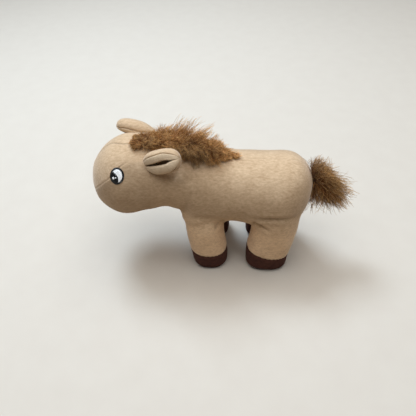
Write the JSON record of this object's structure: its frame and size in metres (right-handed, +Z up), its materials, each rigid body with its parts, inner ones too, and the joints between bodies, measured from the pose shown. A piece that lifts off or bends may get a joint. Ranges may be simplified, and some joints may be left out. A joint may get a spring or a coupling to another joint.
{
  "type": "plush horse",
  "caption": "Small standing stuffed horse in beige fleece with brown hooves, a fur mane and tail, stitched eyes and folded ears.",
  "frame": {"origin": "on the floor, under the middle of the whole horse's box", "axes": "+X from nose to tail, +Y towards the horse's right side, +Z up"},
  "size_m": [0.175, 0.0586, 0.105],
  "materials": {
    "beige_fleece": "matt short-pile polyester fleece",
    "ear_lining": "matt short-pile polyester fleece, thinner",
    "brown_hoof_fleece": "matt short-pile polyester fleece",
    "brown_long_pile": "long loose polyester pile",
    "brown_backing_tape": "flat woven tape",
    "black_thread": "satin-stitch embroidery thread",
    "white_thread": "satin-stitch embroidery thread",
    "polyester_filling": "loose fibre filling, never seen"
  },
  "bodies": {
    "torso": {"belly_gusset": "beige_fleece", "mane_back_pile": "brown_long_pile", "mane_back_tape": "brown_backing_tape", "torso_side_left": "beige_fleece", "torso_side_right": "beige_fleece", "torso_stuffing": "polyester_filling"},
    "head": {"brow_left": "beige_fleece", "brow_right": "beige_fleece", "eye_glint_left": "white_thread", "eye_glint_right": "white_thread", "eye_pupil_left": "black_thread", "eye_pupil_right": "black_thread", "eye_ring_left": "black_thread", "eye_ring_right": "black_thread", "eye_white_left": "white_thread", "eye_white_right": "white_thread", "head_side_left": "beige_fleece", "head_side_right": "beige_fleece", "head_stuffing": "polyester_filling", "mane_front_pile": "brown_long_pile", "mane_front_tape": "brown_backing_tape"},
    "ear_left": {"ear_lining_left": "ear_lining", "ear_outer_left": "beige_fleece"},
    "ear_right": {"ear_lining_right": "ear_lining", "ear_outer_right": "beige_fleece"},
    "leg_front_left": {"hoof_cover_front_left": "brown_hoof_fleece", "hoof_sole_front_left": "brown_hoof_fleece", "leg_cover_front_left": "beige_fleece", "leg_stuffing_front_left": "polyester_filling"},
    "leg_front_right": {"hoof_cover_front_right": "brown_hoof_fleece", "hoof_sole_front_right": "brown_hoof_fleece", "leg_cover_front_right": "beige_fleece", "leg_stuffing_front_right": "polyester_filling"},
    "leg_hind_left": {"hoof_cover_hind_left": "brown_hoof_fleece", "hoof_sole_hind_left": "brown_hoof_fleece", "leg_cover_hind_left": "beige_fleece", "leg_stuffing_hind_left": "polyester_filling"},
    "leg_hind_right": {"hoof_cover_hind_right": "brown_hoof_fleece", "hoof_sole_hind_right": "brown_hoof_fleece", "leg_cover_hind_right": "beige_fleece", "leg_stuffing_hind_right": "polyester_filling"},
    "tail": {"tail_tab": "brown_backing_tape", "tail_tuft": "brown_long_pile"}
  },
  "joints": [
    {"name": "neck_nod", "type": "hinge", "parent": "torso", "child": "head", "pos_m": [-0.02273, 0.00139, 0.0685], "axis": [0, 1, 0], "range_deg": [-12, 8], "stiffness_Nm_per_rad": 0.3, "springref_deg": 0.77},
    {"name": "leg_front_left_swing", "type": "hinge", "parent": "torso", "child": "leg_front_left", "pos_m": [-0.01153, -0.01321, 0.0362], "axis": [0, 1, 0], "range_deg": [-8, 20], "stiffness_Nm_per_rad": 0.12},
    {"name": "leg_front_right_swing", "type": "hinge", "parent": "torso", "child": "leg_front_right", "pos_m": [-0.01153, 0.01599, 0.0362], "axis": [0, 1, 0], "range_deg": [-8, 20], "stiffness_Nm_per_rad": 0.12},
    {"name": "leg_hind_left_swing", "type": "hinge", "parent": "torso", "child": "leg_hind_left", "pos_m": [0.03807, -0.01321, 0.043], "axis": [0, 1, 0], "range_deg": [-20, 8], "stiffness_Nm_per_rad": 0.12},
    {"name": "leg_hind_right_swing", "type": "hinge", "parent": "torso", "child": "leg_hind_right", "pos_m": [0.03807, 0.01599, 0.043], "axis": [0, 1, 0], "range_deg": [-20, 8], "stiffness_Nm_per_rad": 0.12},
    {"name": "ear_left_flap", "type": "hinge", "parent": "head", "child": "ear_left", "pos_m": [-0.04578, -0.01662, 0.09159], "axis": [0, -0.7431, -0.6691], "range_deg": [-8, 60], "stiffness_Nm_per_rad": 0.008, "springref_deg": 0.09},
    {"name": "ear_right_flap", "type": "hinge", "parent": "head", "child": "ear_right", "pos_m": [-0.04578, 0.01939, 0.09159], "axis": [0, -0.7431, 0.6691], "range_deg": [-60, 0], "stiffness_Nm_per_rad": 0.008, "springref_deg": -0.1},
    {"name": "tail_flick", "type": "hinge", "parent": "torso", "child": "tail", "pos_m": [0.06195, 0.00139, 0.06568], "axis": [0, 1, 0], "range_deg": [-30, 25], "stiffness_Nm_per_rad": 0.02, "springref_deg": -0.46}
  ]
}
